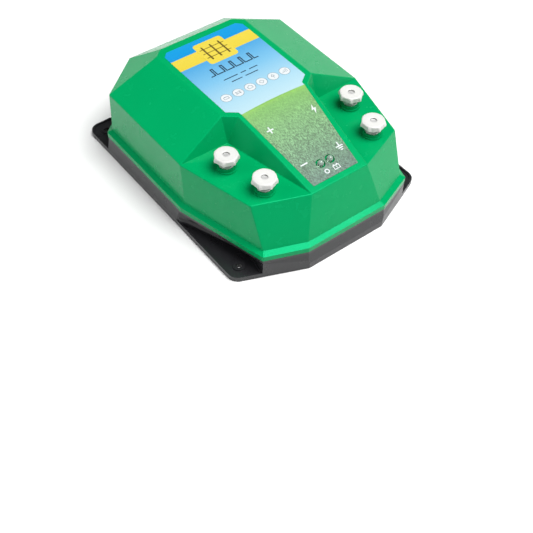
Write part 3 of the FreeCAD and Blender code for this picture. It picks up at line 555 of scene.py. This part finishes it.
def threadedRod(bm, x, y, low, high):
    pitch, crest, deep = threadShape["pitch"], threadShape["crest"], threadShape["root"]
    turns = math.ceil((high - low) / pitch) + 2
    start = low - pitch
    profile = [(deep, 0.0), (deep, threadShape["rise"]), (crest, threadShape["crestFrom"]),
               (crest, threadShape["crestTo"]), (deep, 1.0)]
    rim = [bm.verts.new((x + r, y, start + share * pitch)) for r, share in profile]
    edges = [bm.edges.new(pair) for pair in zip(rim, rim[1:])]
    steps = threadShape["steps"]
    bmesh.ops.spin(bm, geom=rim + edges, cent=(x, y, 0), axis=(0, 0, 1), dvec=(0, 0, pitch / steps),
                   angle=2 * math.pi * turns, steps=steps * turns, use_duplicate=False)
    bmesh.ops.remove_doubles(bm, verts=bm.verts, dist=1e-6)
    for z, way in ((low, -1), (high, 1)):
        cut = bmesh.ops.bisect_plane(bm, geom=bm.verts[:] + bm.edges[:] + bm.faces[:], plane_co=(x, y, z),
                                     plane_no=(0, 0, way), clear_outer=True, dist=weldGap)
        rim = [e for e in cut["geom_cut"] if isinstance(e, bmesh.types.BMEdge)]
        bmesh.ops.holes_fill(bm, edges=rim, sides=0)
    for vert in bm.verts:
        reach = math.hypot(vert.co.x - x, vert.co.y - y)
        limit = crest - max(0.0, vert.co.z - (high - threadShape["chamfer"]))
        if reach > limit:
            vert.co.x = x + (vert.co.x - x) * limit / reach
            vert.co.y = y + (vert.co.y - y) * limit / reach


def hexHead(bm, x, y, low, high):
    corner = headShape["across"] / math.sqrt(3)
    made = bmesh.ops.create_cone(bm, cap_ends=True, segments=6, radius1=corner, radius2=corner,
                                 depth=high - low)
    verts = made["verts"]
    bmesh.ops.translate(bm, vec=(x, y, (low + high) / 2), verts=verts)
    edges = list({e for v in verts for e in v.link_edges})
    bmesh.ops.bevel(bm, geom=edges, offset=headShape["edge"], affect="EDGES", segments=2, profile=0.5,
                    material=-1)


def threadedStud(terminal):
    node = "stud_" + terminal
    x, y, low, high = centreOf(node)
    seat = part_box("ring_lugs")[1][2] - headShape["lugThick"]
    bm = bmesh.new()
    threadedRod(bm, x, y, seat - headShape["lap"], high)
    hexHead(bm, x, y, low, seat)
    finishPiece("threadedStud_" + terminal, bm, zincSteel, root, [node], 30)


def clampWasher(terminal):
    node = "clamp_washer_" + terminal
    x, y, low, high = centreOf(node)
    hole, outer, chamfer = washerShape["hole"], washerShape["outer"], washerShape["chamfer"]
    foot, top = washerShape["footEdge"], washerShape["topEdge"]
    bm = bmesh.new()
    lathe(bm, [(hole, low + chamfer), (hole + chamfer, low), (outer - foot, low), (outer, low + foot),
               (outer, high - top), (outer - top, high), (hole + chamfer, high), (hole, high - chamfer)],
          (x, y), 64, True)
    finishPiece("clampWasher_" + terminal, bm, zincSteel, "washer_" + terminal, [node], 30)


for terminal in terminals:
    threadedStud(terminal)
    clampWasher(terminal)
print("studs ready")


# status lamps
lampShape = {"radius": 2.5 * mm, "rim": 2.9 * mm, "rimHigh": 1.0 * mm, "edge": 0.1 * mm, "body": 5.6 * mm,
             "back": 6.3 * mm, "y": -82.8 * mm, "domeSteps": 10}
cupShape = {"x": -0.35 * mm, "profile": (  # radius and height in mm, from the post's foot to the cup's floor
    (0, 0.3), (0.7, 0.3), (0.7, 3.4), (1.35, 4.4), (1.2, 4.4), (0.6, 3.8), (0, 3.8))}
bondPost = {"size": (0.5 * mm, 0.6 * mm, 4.0 * mm), "at": (1.65 * mm, 0, 2.4 * mm)}


def statusLamp(side):
    node = "status_lamp_" + side
    x = centreOf(node)[0]
    sunk = -housing["labelProud"] - lampShape["back"]
    place = panelMatrix(x, lampShape["y"]) @ Matrix.Translation((0, 0, sunk))
    r, rim, rimHigh, edge = (lampShape[name] for name in ("radius", "rim", "rimHigh", "edge"))
    shoulder = rimHigh + lampShape["body"]
    profile = [(0, 0), (rim - edge, 0), (rim, edge), (rim, rimHigh), (r, rimHigh)]
    dome = arcPoints(r, 0, math.pi / 2, lampShape["domeSteps"], (0, shoulder))
    profile += dome[:-1] + [(0, shoulder + r)]
    bm = bmesh.new()
    lathe(bm, profile, (0, 0), 48)
    bmesh.ops.transform(bm, matrix=place, verts=bm.verts)
    finishPiece("lampLens_" + side, bm, resinClear, root, [node], 40)
    bm = bmesh.new()  # reflector cup on its post, and the slimmer bond post beside it
    lathe(bm, [(r * mm, z * mm) for r, z in cupShape["profile"]], (cupShape["x"], 0), 32)
    post = bmesh.ops.create_cube(bm, size=1.0)["verts"]
    bmesh.ops.scale(bm, vec=bondPost["size"], verts=post)
    bmesh.ops.translate(bm, vec=bondPost["at"], verts=post)
    bmesh.ops.transform(bm, matrix=place, verts=bm.verts)
    finishPiece("lampFrame_" + side, bm, tinnedCopper, root, [], 30)


for side in ("left", "right"):
    statusLamp(side)
print("lamps ready")


# printing on the label
def printing(name, material, draw):
    bm = bmesh.new()
    draw(bm)
    finishPiece(name, bm, material)


badge = {"at": (0.0, 54.5 * mm), "wide": 27.0 * mm, "high": 28.0 * mm, "corner": 3.0 * mm,
         "posts": (-8, 0, 8), "post": (-9, 8, 9.4, 1.5),  # foot, shoulder, point and width in mm
         "wires": (-5.5, 0.0, 5.5), "wireWide": 0.7, "wireEnd": 11.5}


def drawBadge(bm):
    flatPolygon(bm, roundedBox(badge["wide"], badge["high"], badge["corner"]), panelMatrix(*badge["at"]))


def drawBadgeFence(bm):
    place = panelMatrix(*badge["at"]) @ Matrix.Translation((0, 0, inkThick))
    foot, shoulder, point, wide = badge["post"]
    half, end = wide / 2, badge["wireEnd"]
    for x in badge["posts"]:
        barDrawing(bm, place, x * mm, foot * mm, x * mm, shoulder * mm, wide * mm)
        tip = ((x + half, shoulder), (x, point), (x - half, shoulder))
        flatPolygon(bm, [(u * mm, v * mm) for u, v in tip], place)
    starts = [-end] + [x + half for x in badge["posts"]]
    stops = [x - half for x in badge["posts"]] + [end]
    for y in badge["wires"]:
        for x0, x1 in zip(starts, stops):
            barDrawing(bm, place, x0 * mm, y * mm, x1 * mm, y * mm, badge["wireWide"] * mm)


printing("labelBadge", inkYellow, drawBadge)
printing("labelBadgeFence", inkBrown, drawBadgeFence)


pulse = {"y": 28 * mm, "start": -22.0, "count": 5, "pitch": 8.8, "rise": 3.6, "fall": 5.4, "peak": 8.0,
         "wide": 1.1, "flatGrow": 0.5, "uprightGrow": -0.55}  # in mm; how far a stroke runs past its corners
rules = {"wide": 0.9, "rows": ((19.5, ((-17, -4), (-1, 4), (7, 15))), (14.5, ((-13, -3), (0, 12))))}


def drawPulse(bm):  # a train of pulses on a base line
    place = panelMatrix(0, pulse["y"])
    x, peak = pulse["start"], pulse["peak"]
    for k in range(pulse["count"]):
        up, down, end = x + pulse["rise"], x + pulse["fall"], x + pulse["pitch"]
        points = ((x, 0.0), (up, 0.0), (up, peak), (down, peak), (down, 0.0), (end, 0.0))
        for (x0, y0), (x1, y1) in zip(points, points[1:]):
            grow = pulse["flatGrow"] if y0 == y1 else pulse["uprightGrow"]
            run = Vector((x1 - x0, y1 - y0)).normalized() * grow
            barDrawing(bm, place, (x0 - run.x) * mm, (y0 - run.y) * mm, (x1 + run.x) * mm, (y1 + run.y) * mm,
                       pulse["wide"] * mm)
        x = end


def drawRules(bm):
    for y, ends in rules["rows"]:
        place = panelMatrix(0, y * mm)
        for x0, x1 in ends:
            barDrawing(bm, place, x0 * mm, 0, x1 * mm, 0, rules["wide"] * mm)


printing("labelPulse", inkNavy, drawPulse)
printing("labelRules", inkNavy, drawRules)

icons = {
    "count": 6, "y": 1.35 * mm, "pitch": 11.1 * mm, "radius": 4.5 * mm, "ring": 0.3 * mm,
    "stroke": 0.32 * mm,
    "glyphs": (  # strokes of each small drawing, from x, y to x, y in mm
        ((-2, -1.2, 2, -1.2), (2, -1.2, 2, 1.2), (2, 1.2, -2, 1.2), (-2, 1.2, -2, -1.2),
         (-1, 1.7, 0.2, 1.7)),
        ((-1.6, -1.8, -1.6, 1.6), (1.6, -1.8, 1.6, 1.6), (-2.4, 0.8, 2.4, 0.8), (-2.4, -0.8, 2.4, -0.8)),
        ((-2, -1.5, 2, -1.5), (2, -1.5, 2, 0.4), (-2, -1.5, -2, 0.4), (-2.4, 0.3, 0, 2), (0, 2, 2.4, 0.3)),
        ((-2, 0, 0, 2), (0, 2, 2, 0), (2, 0, 0, -2), (0, -2, -2, 0)),
        ((0, -2.2, 0, 0.2), (-1.5, 0.2, 1.5, 0.2), (1.5, 0.2, 0, 2.4), (0, 2.4, -1.5, 0.2)),
        ((-2, -1.6, -2, 0), (-0.7, -1.6, -0.7, 0.9), (0.7, -1.6, 0.7, 1.6), (2, -1.6, 2, 2.2)))}


def iconPlaces():
    middle = (icons["count"] - 1) / 2
    return [panelMatrix((k - middle) * icons["pitch"], icons["y"]) for k in range(icons["count"])]


def drawIconDiscs(bm):
    corners = 36
    rim = arcPoints(icons["radius"] - icons["ring"], 0, 2 * math.pi * (corners - 1) / corners, corners - 1)
    for place in iconPlaces():
        flatPolygon(bm, rim, place)


def drawIconRings(bm):
    for place in iconPlaces():
        ringDrawing(bm, place, icons["radius"], icons["radius"] - icons["ring"])


def drawIconGlyphs(bm):
    for place, glyph in zip(iconPlaces(), icons["glyphs"]):
        for x0, y0, x1, y1 in glyph:
            barDrawing(bm, place @ Matrix.Translation((0, 0, inkThick)), x0 * mm, y0 * mm, x1 * mm, y1 * mm,
                       icons["stroke"])


printing("labelIconDiscs", inkWhite, drawIconDiscs)
printing("labelIconRings", inkGrey, drawIconRings)
printing("labelIconGlyphs", inkGrey, drawIconGlyphs)

signs = {"plus": (-19.5, -41.9, 1.25), "minus": (-15.7, -77.6, 1.3), "bolt": (22.1, -41.9, 1.5),
         "earth": (17.9, -77.5, 1.3), "on": (-4.2, -90.4, 1.2), "cell": (4.6, -90.7, 1.2)}  # x, y, size
signShape = {"half": 2.4, "wide": 0.8,
             "bolt": ((0.5, 3.0), (-1.5, -0.3), (-0.2, -0.2), (-0.7, -3.0), (1.4, 0.5), (0.1, 0.4)),
             "earthBars": ((0.0, 2.4), (-1.3, 1.6), (-2.6, 0.8)), "earthStem": (0.35, 3.0), "earthWide": 0.7,
             "ring": (1.7, 1.05), "ringSteps": 32,
             "cell": (  # strokes from x, y to x, y, and their width, in mm
                 (-2.3, -1.3, 2.3, -1.3, 0.5), (2.3, 1.3, -2.3, 1.3, 0.5), (-2.05, -1.05, -2.05, 1.05, 0.5),
                 (2.05, -1.05, 2.05, 1.05, 0.5), (-1.7, 1.85, -0.7, 1.85, 0.6), (0.7, 1.85, 1.7, 1.85, 0.6),
                 (0, -0.8, 0, 0.8, 0.45))}


def drawSigns(bm):
    place = {name: panelMatrix(x * mm, y * mm) @ Matrix.Diagonal((size, size, 1, 1))
             for name, (x, y, size) in signs.items()}
    half, wide, stem = signShape["half"] * mm, signShape["wide"] * mm, signShape["earthWide"] * mm
    barDrawing(bm, place["plus"], -half, 0, half, 0, wide)
    barDrawing(bm, place["plus"], 0, wide / 2, 0, half, wide)
    barDrawing(bm, place["plus"], 0, -half, 0, -wide / 2, wide)
    barDrawing(bm, place["minus"], -half, 0, half, 0, wide)
    flatPolygon(bm, [(x * mm, y * mm) for x, y in signShape["bolt"]], place["bolt"])
    foot, head = signShape["earthStem"]
    barDrawing(bm, place["earth"], 0, foot * mm, 0, head * mm, stem)
    for y, reach in signShape["earthBars"]:
        barDrawing(bm, place["earth"], -reach * mm, y * mm, reach * mm, y * mm, stem)
    ringDrawing(bm, place["on"], *(r * mm for r in signShape["ring"]), (0, 0), signShape["ringSteps"])
    for stroke in signShape["cell"]:
        barDrawing(bm, place["cell"], *(value * mm for value in stroke))


printing("labelSigns", inkWhite, drawSigns)
print("label ready")


# CAD pieces that keep their shape
boardLacquer = plastic("boardLacquer", (0.012, 0.10, 0.045), 0.35, 0.15)
coreSteel = metal("coreSteel", (0.16, 0.16, 0.17), 0.5)
ferriteGrey = plastic("ferriteGrey", (0.07, 0.07, 0.075), 0.6, 0.1)
nylonCream = plastic("nylonCream", (0.70, 0.68, 0.60), 0.45, 0.03)
copperEnamel = metal("copperEnamel", (0.70, 0.28, 0.10), 0.35)
tapeAmber = plastic("tapeAmber", (0.72, 0.58, 0.12), 0.3, 0.05)
caseBlue = plastic("caseBlue", (0.03, 0.08, 0.28), 0.4, 0.04)
sleeveBlack = plastic("sleeveBlack", (0.02, 0.02, 0.035), 0.3, 0.05)
sinkBlack = metal("sinkBlack", (0.05, 0.05, 0.055), 0.45)
resinBlack = plastic("resinBlack", (0.02, 0.02, 0.022), 0.55, 0.08)
nylonGreen = plastic("nylonGreen", (0.04, 0.30, 0.08), 0.4, 0.04)
wireColours = {"wire_red": (0.60, 0.02, 0.01), "wire_black": (0.02, 0.02, 0.02),
               "wire_yellow": (0.75, 0.55, 0.03), "wire_green": (0.03, 0.35, 0.08),
               "wire_grey": (0.30, 0.30, 0.32)}
slotLook = {"cover_green": coverGreen, "base_black": trayBlack, "knob_white": knobWhite,
            "label_film": labelPrinted, "seal_rubber": sealRubber, "zinc_steel": zincSteel,
            "tinned_copper": tinnedCopper, "lamp_clear": resinClear, "board_green": boardLacquer,
            "core_steel": coreSteel, "ferrite": ferriteGrey, "bobbin_nylon": nylonCream,
            "copper_winding": copperEnamel, "winding_tape": tapeAmber, "capacitor_blue": caseBlue,
            "capacitor_sleeve": sleeveBlack, "sink_black": sinkBlack, "package_black": resinBlack,
            "block_green": nylonGreen}
slotLook.update({name: plastic(name + "Skin", colour, 0.35, 0.03) for name, colour in wireColours.items()})

for entry in frame["record"]["subparts"]:
    node = frame["nodes"][entry["node"]]
    node.data.materials.clear()
    node.data.materials.append(slotLook[entry["material_slot"]])

softEdges = {"node": "base_tray", "width": 0.35 * mm, "segments": 2, "angle": math.radians(40)}

bevel = frame["nodes"][softEdges["node"]].modifiers.new("softEdges", "BEVEL")
bevel.width = softEdges["width"]
bevel.segments = softEdges["segments"]
bevel.limit_method = "ANGLE"
bevel.angle_limit = softEdges["angle"]
bevel.harden_normals = True
print("materials ready")
